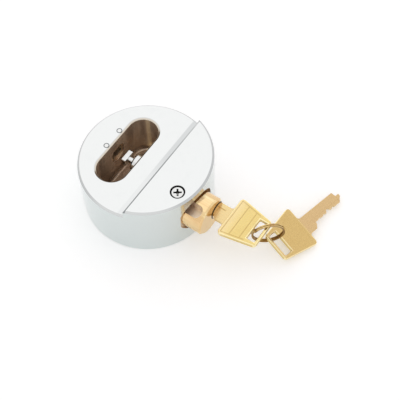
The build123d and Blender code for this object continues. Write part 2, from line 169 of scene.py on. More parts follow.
@dataclass(frozen=True)
class Spot:
    """Where a point of the surface lies, in millimetres from a place of the piece's own.

    Attributes:
        vector: The three numbers as one socket.
        x: Its first number.
        y: Its second number.
        z: Its third number.
    """

    vector: bpy.types.NodeSocket
    x: Signal
    y: Signal
    z: Signal

    def from_axis(self, along: str) -> Signal:
        """The distance in millimetres from the axis of that name through the place."""
        first, second = {"x": (self.y, self.z), "y": (self.x, self.z), "z": (self.x, self.y)}[along]
        return (first * first + second * second).root()


class Graph:
    """The nodes of one material, or of the world."""

    def __init__(self, owner: bpy.types.Material | bpy.types.World) -> None:
        """Starts with no nodes.

        Args:
            owner: The material or the world.
        """
        self.owner = owner
        owner.use_nodes = True
        self.tree = owner.node_tree
        self.tree.nodes.clear()

    @classmethod
    def material(cls, name: str) -> "Graph":
        """Starts an empty material of that name."""
        return cls(bpy.data.materials.new(name))

    def node(self, kind: str, settings: dict | None = None, values: dict | None = None) -> bpy.types.Node:
        """Adds any node.

        Args:
            kind: The node's type.
            settings: Its own settings, made first.
            values: What goes into its sockets, by name or number: a signal, a socket or a plain value.

        Returns:
            The new node.
        """
        made = self.tree.nodes.new(kind)
        for name, setting in (settings or {}).items():
            setattr(made, name, setting)
        for name, value in (values or {}).items():
            if isinstance(value, Signal):
                self.tree.links.new(value.socket, made.inputs[name])
            elif isinstance(value, bpy.types.NodeSocket):
                self.tree.links.new(value, made.inputs[name])
            else:
                made.inputs[name].default_value = value
        return made

    def spot(self, place: Point = (0, 0, 0), turn: Euler | None = None) -> Spot:
        """Reads the piece's own coordinates.

        Args:
            place: Where they start from, in millimetres in the frame.
            turn: How they are turned in the frame.

        Returns:
            The coordinates in millimetres.
        """
        start = self.node("ShaderNodeTexCoord").outputs["Object"]
        values = {
            "Vector": start,
            "Location": tuple(part * MM for part in place),
            "Rotation": tuple(turn or Euler((0, 0, 0))),
            "Scale": (MM, MM, MM),
        }
        return self.split(self.node("ShaderNodeMapping", {"vector_type": "TEXTURE"}, values).outputs[0])

    def facing(self) -> Spot:
        """The surface's own normal in the piece's coordinates."""
        return self.split(self.node("ShaderNodeTexCoord").outputs["Normal"])

    def split(self, vector: bpy.types.NodeSocket) -> Spot:
        """Takes a vector apart into its three numbers."""
        parts = self.node("ShaderNodeSeparateXYZ", values={0: vector}).outputs
        return Spot(vector, *(Signal(self, part) for part in parts))

    def seen(self) -> Signal:
        """Where the camera looks, also in a mirror or through glass.

        Returns:
            1 there, and 0 where a ray only lights the scene.
        """
        rays = self.node("ShaderNodeLightPath").outputs
        straight, mirrored, through = (
            Signal(self, rays[f"Is {kind} Ray"]) for kind in ("Camera", "Glossy", "Transmission")
        )
        return straight.or_more(mirrored).or_more(through)

    def noise(self, spot: Spot, grain: "Grain", detail: float = 2.0) -> Signal:
        """Smooth noise.

        Args:
            spot: The coordinates that it is laid on.
            grain: Which way it runs.
            detail: How many finer layers it has.

        Returns:
            The noise, about 0.5 in the mean.
        """
        stretch = {0: spot.vector, 1: grain.value}
        scaled = self.node("ShaderNodeVectorMath", {"operation": "MULTIPLY"}, stretch).outputs[0]
        values = {"Vector": scaled, "Scale": 1.0, "Detail": detail, "Roughness": 0.55}
        return Signal(self, self.node("ShaderNodeTexNoise", values=values).outputs[0])

    def blend(self, share: Signal, under: Paint, over: Paint) -> bpy.types.NodeSocket:
        """Mixes two colours.

        Args:
            share: How much of the second shows.
            under: The first colour.
            over: The second colour.

        Returns:
            The mixed colour.
        """
        ends = [(*end, 1.0) if isinstance(end, tuple) else end for end in (under, over)]
        settings = {"data_type": "RGBA", "clamp_factor": True}
        return self.node("ShaderNodeMix", settings, {0: share, 6: ends[0], 7: ends[1]}).outputs[2]

    def layers(self, under: Paint, coats: list[tuple[Signal, Paint]]) -> Paint:
        """Lays one colour after another.

        Args:
            under: The first colour.
            coats: How much of each further colour shows, and the colour.

        Returns:
            The mixed colour.
        """
        for share, colour in coats:
            under = self.blend(share, under, colour)
        return under

    def relief(self, height: Signal, depth: float) -> bpy.types.NodeSocket:
        """Turns heights in millimetres into a normal, bumped as strongly as the depth says."""
        values = {"Strength": depth, "Distance": MM, "Height": height}
        return self.node("ShaderNodeBump", values=values).outputs[0]

    def surface(self, values: dict) -> bpy.types.Material:
        """Ends the material with one shader.

        Args:
            values: What goes into the shader's sockets.

        Returns:
            The material.
        """
        shader = self.node("ShaderNodeBsdfPrincipled", values=values)
        self.node("ShaderNodeOutputMaterial", values={0: shader.outputs[0]})
        return self.owner

    def metal(
        self,
        colour: Paint,
        roughness: Signal,
        normal: bpy.types.NodeSocket,
        metallic: Signal | float = 1.0,
    ) -> bpy.types.Material:
        """Ends the material as metal, 1 being bare metal and 0 none."""
        values = {"Base Color": colour, "Roughness": roughness, "Metallic": metallic, "Normal": normal}
        return self.surface(values)


class Grain(Enum):
    """Which way marks, stains and painted reflection streaks run: features to a millimetre along x, y and z.
    """

    GROUND_ALONG_Y = (5.0, 0.12, 5.0)
    TURNED_ABOUT_X = (7.0, 0.25, 0.25)
    FINE = (9.0, 9.0, 9.0)
    STAINS = (0.16, 0.16, 0.16)
    DOWN_THE_SLOT = (0.22, 0.22, 0.03)
    MILLED = (0.15, 6.0, 0.15)
    ALONG_THE_BARREL = (0.02, 0.55, 0.55)
    ROUND_THE_PIN = (6.0, 0.1, 0.1)
    ROUND_THE_WIRE = (8.0, 0.3, 0.3)
    DENTS = (0.9, 0.9, 0.9)
    PATCHES = (0.5, 0.5, 0.5)


@dataclass(frozen=True)
class Finish:
    """A bare or plated metal finish.

    Attributes:
        tint: Its colour.
        shade: Its colour where it is dull or stained.
        gloss: The roughness of the clean metal.
        grain: Which way its tool marks run.
        mark: How deep the marks are, in millimetres.
        marked: How much of the shade shows in the marks.
        stained: How much of it shows in the stains.
        mark_span: From where to where in their noise the marks show.
        stain_span: From where to where in theirs the stains show.
        mark_gloss: How much the marks change the roughness.
        stain_gloss: How much the stains change it.
    """

    tint: Colour
    shade: Colour
    gloss: float
    grain: Grain
    mark: float
    marked: float = 0.25
    stained: float = 0.5
    mark_span: Span = (0.5, 0.9)
    stain_span: Span = (0.45, 0.85)
    mark_gloss: float = 0.10
    stain_gloss: float = 0.06

    def coat(self, graph: Graph, spot: Spot) -> tuple[bpy.types.NodeSocket, Signal, Signal]:
        """Lays the finish down before anything special to a piece.

        Args:
            graph: The material.
            spot: The coordinates.

        Returns:
            Its colour, its roughness and its height in millimetres.
        """
        marks = graph.noise(spot, self.grain, detail=3.0)
        stain = graph.noise(spot, Grain.STAINS, detail=3.0)
        share = stain.rise(*self.stain_span) * self.stained + marks.rise(*self.mark_span) * self.marked
        colour = graph.blend(share, self.tint, self.shade)
        roughness = self.gloss + self.mark_gloss * (marks - 0.5) + self.stain_gloss * (stain - 0.5)
        return colour, roughness, marks * self.mark

    def plain(self, name: str) -> bpy.types.Material:
        """The finish by itself.

        Args:
            name: What the material is called.

        Returns:
            The material.
        """
        graph = Graph.material(name)
        colour, roughness, height = self.coat(graph, graph.spot())
        return graph.metal(colour, roughness, graph.relief(height, depth=0.5))


CHROME = Finish((0.735, 0.745, 0.742), (0.70, 0.712, 0.712), 0.14, Grain.GROUND_ALONG_Y, 0.0015)
STEEL = Finish((0.71, 0.71, 0.70), (0.62, 0.61, 0.60), 0.16, Grain.FINE, 0.002)
KEEPER_STEEL = Finish((0.86, 0.72, 0.54), (0.70, 0.56, 0.40), 0.36, Grain.FINE, 0.003)
TURNED_BRASS = Finish((0.83, 0.62, 0.335), (0.72, 0.46, 0.21), 0.13, Grain.TURNED_ABOUT_X, 0.002)
KEY_BRASS = Finish((0.74, 0.575, 0.235), (0.68, 0.50, 0.185), 0.27, Grain.FINE, 0.004)
BRONZE = Finish((0.29, 0.165, 0.045), (0.16, 0.08, 0.017), 0.17, Grain.FINE, 0.003)

PAINTED_WALL_REFLECTION = (0.672, 0.718, 0.711)
CHAMFER_SHADE_GREY = (0.46, 0.47, 0.475)
STEP_SHADE_GREY = (0.22, 0.232, 0.238)
SEAT_SHADE_GREY = (0.46, 0.475, 0.48)
GAP_SHADE_GREY = (0.10, 0.11, 0.115)
LIP_TAN = (0.70, 0.63, 0.53)
SLOT_BROWN = (0.45, 0.33, 0.235)
SLOT_COPPER = (0.62, 0.49, 0.37)
SLOT_SHADE = (0.33, 0.235, 0.155)
SLOT_GLEAM = (0.95, 0.78, 0.52)
MOUTH_BROWN = (0.60, 0.45, 0.30)
WELL_SHADE = (0.030, 0.029, 0.027)
CROSS_SHADE = (0.055, 0.053, 0.048)
HEAD_RIM_SHADE = (0.08, 0.08, 0.08)
EDGE_GOLD = (0.84, 0.62, 0.29)
BARREL_REFLECTION_ORANGE = (0.78, 0.50, 0.24)
BARREL_REFLECTION_DARK = (0.74, 0.47, 0.23)
BARREL_REFLECTION_LIGHT = (0.98, 0.80, 0.50)
MILLED_PINK = (1.0, 0.86, 0.68)
MILLED_LINE = (0.72, 0.46, 0.28)
POCKET_SHADE = (0.42, 0.24, 0.14)
SEAM_SHADE = (0.04, 0.025, 0.012)
NECK_BRASS = (0.76, 0.58, 0.33)
PALE_BRASS = (0.84, 0.68, 0.40)
KEY_EDGE_HIGHLIGHT = (1.0, 0.88, 0.54)
KEY_LINE = (0.50, 0.32, 0.10)
RING_CROWN = (0.82, 0.60, 0.26)


def add_piece(name: str, mesh: bmesh.types.BMesh, material: bpy.types.Material) -> bpy.types.Object:
    """Makes a piece of a finished mesh, where it stands.

    Args:
        name: What it is called.
        mesh: Its shape, which is freed.
        material: What it is made of.

    Returns:
        The piece.
    """
    data = bpy.data.meshes.new(name)
    mesh.to_mesh(data)
    mesh.free()
    data.materials.clear()
    data.materials.append(material)
    piece = bpy.data.objects.new(name, data)
    bpy.context.scene.collection.objects.link(piece)
    log.info("%s has %d faces", name, len(data.polygons))
    return piece


def dress(nodes: list[str], material: bpy.types.Material) -> None:
    """Gives CAD nodes their material.

    Args:
        nodes: Their names.
        material: What they get.
    """
    for name in nodes:
        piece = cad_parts[name]
        if not piece.material_slots:
            piece.data.materials.append(material)
        for slot in piece.material_slots:
            slot.material = material
        log.info("%s is dressed in %s", name, material.name)


@dataclass(frozen=True)
class Case:
    """The chromed puck, its keeper and its stop screw. Sizes are in millimetres.

    Attributes:
        height: Up to the raised segment.
        seat_z: Up to the recessed seat.
        step_x: Where the step between them stands.
        radius: Of the puck.
        rim: The width of its chamfers.
        lip: The width of the slot's chamfer.
        slot_x: The slot's middle, between x and x.
        slot_w: The slot's width.
        slot_l: The slot's length.
        bore: A point on the axis of the carrier's bore.
        bore_d: The bore's diameter.
        bore_end_x: Where the bore starts from, going outwards.
        mouth_d: The diameter of the bore's wider mouth.
        mouth_x: Where the mouth starts.
        pin: A point on the axis of the shackle pin's hole.
        pin_d: The hole's diameter.
        pin_end_x: Where the hole ends, short of the outer wall.
        dowels: Where the dowels' ends are.
        dowel_d: Their diameter.
        screw: Where the stop screw's head is.
        screw_d: The head's diameter.
        screw_gap: How far the well's painted shade shows round the head.
        well_z: Where the painted shade in the well starts, going up.
        cross_w: The width of the cross recess.
        cross_l: The length of its arms, end to end.
        cross_turn: How far the screw is turned, in degrees.
        cross_z: Where the recess ends, going up to the head's top, which is 0.
        cross_shade: How much painted shade the recess gets, going out from its middle.
        cross_dull: How much duller it is.
        rings: How closely the head's turning rings follow one another, in radians to a millimetre.
        ring_depth: How deep they are.
        end_line: Half the width of the painted shade line on a dowel, and how far it takes to fade.
        wall_line: The same of the painted shade line round a dowel.
        chamfer_shade: How much painted shade the chamfers get.
        front_light: How much less of that shade they get at the front, which is painted lighter.
        front_x: Where the front starts, going along x.
        front_y: Where it ends, going along y.
        step_shade: How much painted shade the step gets, going along y.
        seat_shade: How much painted shade the seat gets beside the step, going along y.
        seat_fade: How far that shade takes to fade.
        hidden_seat: How much of the seat the raised edge hides from the camera.
        streaked: From where to where in their noise the copper streaks of the slot show.
        slot_shade: How shaded the slot is, going along y.
        gleam_x: The painted highlight streak down the slot's wall, across it.
        gleam_y: Where it starts, going along y.
        dull_inside: How much duller the walls inside are, and the chamfers.
        plating_lost: How much of the metal look the walls inside lose.
    """

    height: float = 38.0
    seat_z: float = 33.0
    step_x: float = 10.8
    radius: float = 36.5
    rim: float = 1.1
    lip: float = 1.0
    slot_x: float = -12.1
    slot_w: float = 17.2
    slot_l: float = 44.6
    bore: Point = (0.0, -3.8, 20.6)
    bore_d: float = 21.92
    bore_end_x: float = -4.0
    mouth_d: float = 25.3
    mouth_x: float = 33.1
    pin: Point = (0.0, 1.5, 20.6)
    pin_d: float = 11.12
    pin_end_x: float = -31.0
    dowels: tuple[Point, Point] = ((-22.9, -4.3, 33.0), (-22.9, 7.3, 33.0))
    dowel_d: float = 2.8
    screw: Point = (27.5, -9.4, 37.6)
    screw_d: float = 7.0
    screw_gap: float = 0.48
    well_z: Span = (30.0, 31.0)
    cross_w: float = 1.0
    cross_l: float = 4.4
    cross_turn: float = 36.0
    cross_z: Span = (-0.3, -0.05)
    cross_shade: Ramp = Ramp(0.3, 0.8, 0.5, 1.0)
    cross_dull: float = 0.3
    rings: float = 18.0
    ring_depth: float = 0.0015
    end_line: Span = (0.2, 0.12)
    wall_line: Span = (0.14, 0.1)
    chamfer_shade: float = 0.7
    front_light: float = 0.45
    front_x: Span = (-16.0, 0.0)
    front_y: Span = (-24.0, -12.0)
    step_shade: Ramp = Ramp(-4.0, 28.0, 0.90, 0.45)
    seat_shade: Ramp = Ramp(-14.0, 12.0, 0.16, 0.58)
    seat_fade: float = 1.1
    hidden_seat: float = 3.4
    streaked: Span = (0.35, 0.65)
    slot_shade: Ramp = Ramp(-14.0, 3.0, 0.55, 0.0)
    gleam_x: Strip = (-14.7, 0.7, 0.9)
    gleam_y: Span = (17.0, 19.0)
    dull_inside: float = 0.12
    plating_lost: float = 0.45

    def build(self) -> None:
        """Dresses the case's four nodes, and turns its screw as it stands in the photograph."""
        dress(["puck_body"], self.chrome())
        dress(["keeper_ring"], KEEPER_STEEL.plain("keeper_steel"))
        dress(["keeper_dowels"], self.dowel_steel())
        steel = self.screw_steel()
        dress(["stop_screw"], steel)
        self.turned_screw(steel)

    def slot_edge(self, spot: Spot) -> Signal:
        """How far outside the slot's wall a point lies.

        Args:
            spot: The frame's coordinates.

        Returns:
            The distance, less than 0 inside the slot.
        """
        across = spot.x - self.slot_x
        along = (abs(spot.y) - (self.slot_l - self.slot_w) / 2).or_more(0.0)
        return (across * across + along * along).root() - self.slot_w / 2

    def inside(self, graph: Graph, spot: Spot) -> Signal:
        """Where the case is open: its slot, the pin's hole and the carrier's bore.

        Args:
            graph: The material.
            spot: The frame's coordinates.

        Returns:
            1 on those walls and 0 outside.
        """
        slot = self.slot_edge(spot).under(HAIR, 2 * SOFT)
        pin = graph.spot(self.pin)
        deep_enough = pin.x.under(0.0, 1.0) * pin.x.over(self.pin_end_x, 1.0)
        hole = (pin.from_axis("x") - self.pin_d / 2).under(0.02) * deep_enough
        away = graph.spot(self.bore).from_axis("x")
        bore = (away - self.bore_d / 2).under(0.02) * spot.x.over(self.bore_end_x, 1.0)
        mouth = (away - self.mouth_d / 2).under(0.0, HAIR) * self.in_mouth(spot)
        return slot.or_more(hole).or_more(bore).or_more(mouth)

    def in_mouth(self, spot: Spot) -> Signal:
        """1 as far out as the mouth of the bore, and 0 before it."""
        return spot.x.over(self.mouth_x - HAIR, HAIR)

    def depths(self, graph: Graph, spot: Spot) -> Paint:
        """The colour of the walls inside, where the plating is thin and brown, with painted shade and a
        painted highlight streak.

        Args:
            graph: The material.
            spot: The frame's coordinates.

        Returns:
            The colour.
        """
        streaks = graph.noise(spot, Grain.DOWN_THE_SLOT)
        gleam = spot.x.band(*self.gleam_x) * spot.y.rise(*self.gleam_y)
        return graph.layers(SLOT_BROWN, [
            (streaks.rise(*self.streaked), SLOT_COPPER),
            (self.slot_shade.of(spot.y), SLOT_SHADE),
            # painted highlight streak down the slot's end wall
            (gleam * 0.85, SLOT_GLEAM),
            (self.in_mouth(spot), MOUTH_BROWN),
        ])

    def chrome(self) -> bpy.types.Material:
        """Bright chrome outside, brown and thin inside the slot, duller on its chamfers, with painted shade
        and highlights.

        Returns:
            The material.
        """
        graph = Graph.material("chromed_case")
        spot = graph.spot()
        colour, roughness, height = CHROME.coat(graph, spot)
        away = spot.from_axis("z")
        raised = spot.z.over(self.height - self.rim)
        lowered = spot.z.over(self.seat_z - self.rim) * spot.x.under(self.step_x)
        slope = away.over(self.radius - self.rim + HAIR) * raised.or_more(lowered)
        front = spot.y.fall(*self.front_y) * spot.x.rise(*self.front_x)
        step = spot.x.under(self.step_x + self.rim - HAIR) * raised
        # painted shade on the seat beside the step, standing for its reflection of the dark step
        on_seat = spot.z.over(self.seat_z - SOFT) * spot.z.under(self.seat_z + SOFT)
        hidden = spot.x.over(self.step_x - self.hidden_seat, self.seat_fade)
        beside = hidden * spot.x.under(self.step_x) * on_seat
        inside = self.inside(graph, spot)
        lip = self.slot_edge(spot).fall(0.55 * self.lip, 0.8 * self.lip) * spot.z.over(self.seat_z - self.lip)
        coats = [
            # painted reflection: the outer wall is tinted darker and bluer, as it mirrors the shaded table
            (away.over(self.radius - 0.03, HAIR), PAINTED_WALL_REFLECTION),
            # painted shade on the chamfers, which mirror darker surroundings, painted lighter at the front
            (slope * (self.chamfer_shade - front * self.front_light), CHAMFER_SHADE_GREY),
            # painted shade along the edge of the step
            (step * self.step_shade.of(spot.y), STEP_SHADE_GREY),
            # painted shade on the seat beside the step
            (beside * self.seat_shade.of(spot.y), SEAT_SHADE_GREY),
            (inside, self.depths(graph, spot)),
            (lip * 0.85, LIP_TAN),
        ]
        # painted shade: dark lines in the gaps round the dowels, and in the screw's well
        for place in self.dowels:
            ring = graph.spot(place).from_axis("z").band(self.dowel_d / 2, *self.wall_line)
            coats.append((ring * spot.z.over(self.seat_z - 0.5, 0.5) * 0.85, GAP_SHADE_GREY))
        well = graph.spot(self.screw).from_axis("z").under(self.screw_d / 2 + self.screw_gap, 0.12)
        coats.append((well * spot.z.rise(*self.well_z), WELL_SHADE))
        colour = graph.layers(colour, coats)
        roughness = roughness + (inside + slope) * self.dull_inside
        normal = graph.relief(height, depth=0.35)
        return graph.metal(colour, roughness, normal, 1.0 - self.plating_lost * inside)

    def dowel_steel(self) -> bpy.types.Material:
        """Bright steel with a painted shade line at the edge of its end.

        Returns:
            The material.
        """
        graph = Graph.material("dowel_steel")
        colour, roughness, height = STEEL.coat(graph, graph.spot())
        for place in self.dowels:
            ring = graph.spot(place).from_axis("z").band(self.dowel_d / 2, *self.end_line)
            colour = graph.blend(ring, colour, GAP_SHADE_GREY)
        return graph.metal(colour, roughness, graph.relief(height, depth=0.5))

    def screw_steel(self) -> bpy.types.Material:
        """Bright steel, with turning rings on the head, painted shade in its cross recess and a painted shade
        line round its rim.

        Returns:
            The material.
        """
        graph = Graph.material("screw_steel")
        spot = graph.spot(self.screw, Euler((0, 0, math.radians(self.cross_turn))))
        colour, roughness, height = STEEL.coat(graph, spot)
        away = spot.from_axis("z")
        first, second = (
            abs(along).under(self.cross_l / 2) * abs(across).under(self.cross_w / 2)
            for along, across in ((spot.x, spot.y), (spot.y, spot.x))
        )
        recess = first.or_more(second).or_more(away.under(self.cross_w)) * spot.z.fall(*self.cross_z)
        # painted shade in the cross recess and round the head's rim
        colour = graph.layers(colour, [
            (recess * self.cross_shade.of(away), CROSS_SHADE),
            (away.over(self.screw_d / 2 - HAIR, 0.15), HEAD_RIM_SHADE),
        ])
        turning = (away * self.rings).sine() * self.ring_depth
        normal = graph.relief(height + turning, depth=0.4)
        return graph.metal(colour, roughness + recess * self.cross_dull, normal)

    def turned_screw(self, steel: bpy.types.Material) -> None:
        """Screws the stop screw on a little, so that its cross points as in the photograph.

        Args:
            steel: What the screw is made of.
        """
        mesh = bmesh.new()
        mesh.from_mesh(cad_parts["stop_screw"].data)
        turn = Matrix.Rotation(math.radians(self.cross_turn), 3, "Z")
        bmesh.ops.rotate(mesh, cent=tuple(part * MM for part in self.screw), matrix=turn, verts=mesh.verts)
        screw = add_piece("turned_screw", mesh, steel)
        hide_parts("stop_screw")
        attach(screw, "puck")


@dataclass(frozen=True)
class Plunger:
    """The brass carrier with its shackle pin, plug and pins. Sizes are in millimetres.

    Attributes:
        face_x: Where the carrier's outer face is.
        axis: A point on the carrier's axis, which runs along x.
        plug_axis: A point on the plug's and the pin's axis.
        carrier_r: The carrier's radius.
        plug_r: The plug's radius.
        plug_seam_r: The radius of the seam round the plug.
        chamfer: How far the carrier's chamfer reaches from its face.
        end_facing: How squarely a surface looks outwards along x to count as the end.
        edge_facing: How squarely it does to count as its edge.
        edge_fade: How far the edge's gold takes to fade.
        rings: How closely the turning rings follow one another, in radians to a millimetre.
        ring_depth: How deep they are.
        reflection_strips: The orange strips of painted reflection along the barrel, across it.
        darker: From where to where in the noise of its painted reflection streaks the barrel is darker.
        lighter: From where to where in it the barrel stops being lighter.
        milled_r: How far inside the radius the milled walls end, and how far that takes to fade.
        milled_z: Where they start, going up from the axis.
        milled_lines: From where to where in their noise the cutter's lines show.
        milled_depth: How deep those lines are.
        milled_dull: How much duller the milled walls are.
        milled_pale: How much of the metal look they lose.
        pocket_x: Where the milled pocket's shade ends, going outwards.
        springs_in_row: How many springs there are.
        spring_wire: The diameter of their wire.
        spring_turns: How often each is wound.
        spring_steps: Steps to a turn.
        wire_sides: Sides of the wire.
        pin_depth: How deep the fine lines round the pin are.
    """

    face_x: float = 44.6
    axis: Point = (0.0, -3.8, 20.6)
    plug_axis: Point = (0.0, 1.5, 20.6)
    carrier_r: float = 10.9
    plug_r: float = 5.0
    plug_seam_r: float = 5.05
    chamfer: float = 1.1
    end_facing: Span = (0.9, 0.98)
    edge_facing: Span = (0.3, 0.6)
    edge_fade: float = 0.8
    rings: float = 9.0
    ring_depth: float = 0.002
    reflection_strips: tuple[Strip, Strip] = ((-8.4, 0.9, 1.2), (7.4, 1.0, 1.6))
    darker: Span = (0.5, 0.68)
    lighter: Span = (0.34, 0.46)
    milled_r: Span = (0.5, 0.35)
    milled_z: Span = (1.0, 2.0)
    milled_lines: Span = (0.5, 0.62)
    milled_depth: float = 0.02
    milled_dull: float = 0.24
    milled_pale: float = 0.4
    pocket_x: Span = (34.5, 38.0)
    springs_in_row: int = 5
    spring_wire: float = 0.36
    spring_turns: int = 6
    spring_steps: int = 12
    wire_sides: int = 8
    pin_depth: float = 0.004

    def build(self) -> None:
        """Dresses the plunger's nodes and winds its springs."""
        key_pins = [f"key_pin_{number}" for number in range(1, 6)]
        dress(["plunger_carrier"], self.brass("carrier_brass", self.axis, self.carrier_r))
        dress(["plug"], self.brass("plug_brass", self.plug_axis, self.plug_r))
        dress(["shackle_pin", "tongue_stem", "tongue_bar"], self.pin_steel())
        dress(["chamber_caps", *key_pins], TURNED_BRASS.plain("pin_brass"))
        dress(["driver_pins", "plug_clip"], STEEL.plain("bright_steel"))
        self.springs()

    def brass(self, name: str, axis: Point, radius: float) -> bpy.types.Material:
        """Turned brass, with rings on its face, painted reflection strips and streaks along its barrel, a
        pinker milled pocket with painted shade, and a painted shade line round the plug.

        Args:
            name: What the material is called.
            axis: A point on the piece's axis, which runs along x.
            radius: The piece's radius.

        Returns:
            The material.
        """
        graph = Graph.material(name)
        spot = graph.spot(axis)
        colour, roughness, height = TURNED_BRASS.coat(graph, spot)
        away = spot.from_axis("x")
        outwards = graph.facing().x
        end = outwards.rise(*self.end_facing)
        side = 1.0 - end
        edge_x = self.face_x - self.chamfer - SOFT
        edge = (outwards * side).rise(*self.edge_facing) * spot.x.over(edge_x, self.edge_fade)
        within, fade = self.milled_r
        milled = away.under(radius - within, fade) * side * spot.z.rise(*self.milled_z) * spot.x.under(edge_x)
        barrel = side * (1.0 - milled)
        # painted reflections: orange strips, and light and dark streaks, along the barrel
        near, far = (spot.y.band(*strip) for strip in self.reflection_strips)
        drawn_lines_and_reflections = graph.noise(spot, Grain.ALONG_THE_BARREL)
        lines = graph.noise(spot, Grain.MILLED)
        seam = graph.spot(self.plug_axis).from_axis("x").band(self.plug_seam_r, 0.3, 0.12)
        colour = graph.layers(colour, [
            (edge * 0.5, EDGE_GOLD),
            (near.or_more(far) * barrel * 0.5, BARREL_REFLECTION_ORANGE),
            (drawn_lines_and_reflections.rise(*self.darker) * barrel * 0.42, BARREL_REFLECTION_DARK),
            (drawn_lines_and_reflections.fall(*self.lighter) * barrel * 0.6, BARREL_REFLECTION_LIGHT),
            (milled * 0.9, MILLED_PINK),
            (milled * lines.rise(*self.milled_lines) * 0.4, MILLED_LINE),
            (milled * spot.x.fall(*self.pocket_x) * 0.55, POCKET_SHADE),
            # painted shade in the gap round the plug
            (seam * spot.x.over(self.face_x - HAIR, HAIR) * 0.95, SEAM_SHADE),
        ])
        rings = (away * self.rings).sine() * end * self.ring_depth
        normal = graph.relief(height + rings + lines * milled * self.milled_depth, depth=0.5)
        roughness = roughness + milled * self.milled_dull
        return graph.metal(colour, roughness, normal, 1.0 - self.milled_pale * milled)

    def pin_steel(self) -> bpy.types.Material:
        """Ground steel with fine lines round the pin.

        Returns:
            The material.
        """
        graph = Graph.material("pin_steel")
        spot = graph.spot(self.plug_axis)
        colour, roughness, height = STEEL.coat(graph, spot)
        lines = graph.noise(spot, Grain.ROUND_THE_PIN) * self.pin_depth
        return graph.metal(colour, roughness, graph.relief(height + lines, depth=0.4))

    def springs(self) -> None:
        """Winds five coil springs in place of the sleeves that stand for them."""
        low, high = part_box("pin_springs")
        outer = (high.z - low.z) / 2
        centre_z = (low.z + high.z) / 2
        wire_r = self.spring_wire * MM / 2
        pitch = (high.x - low.x - 2 * outer) / (self.springs_in_row - 1)
        steps = self.spring_steps * self.spring_turns
        rise = (high.y - low.y - 2 * wire_r) / steps
        mesh = bmesh.new()
        for number in range(self.springs_in_row):
            centre_x = low.x + outer + pitch * number
            place = Matrix.Translation((centre_x + outer - wire_r, low.y + wire_r, centre_z))
            wire = bmesh.ops.create_circle(
                mesh, cap_ends=False, segments=self.wire_sides, radius=wire_r, matrix=place
            )["verts"]
            edges = list({edge for vert in wire for edge in vert.link_edges})
            bmesh.ops.spin(
                mesh,
                geom=wire + edges,
                cent=(centre_x, low.y, centre_z),
                axis=(0, 1, 0),
                dvec=(0, rise, 0),
                angle=2 * math.pi * self.spring_turns,
                steps=steps,
                use_merge=False,
            )
        bmesh.ops.holes_fill(mesh, edges=mesh.edges, sides=self.wire_sides)
        bmesh.ops.recalc_face_normals(mesh, faces=mesh.faces)
        for face in mesh.faces:
            face.smooth = True
        coils = add_piece("coil_springs", mesh, STEEL.plain("spring_steel"))
        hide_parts("pin_springs")
        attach(coils, "plunger")


class BowFace(Enum):
    """What the face of a key's bow that shows carries, as the strength of its lines."""

    LINED = 1.0
    PLAIN = 0.0


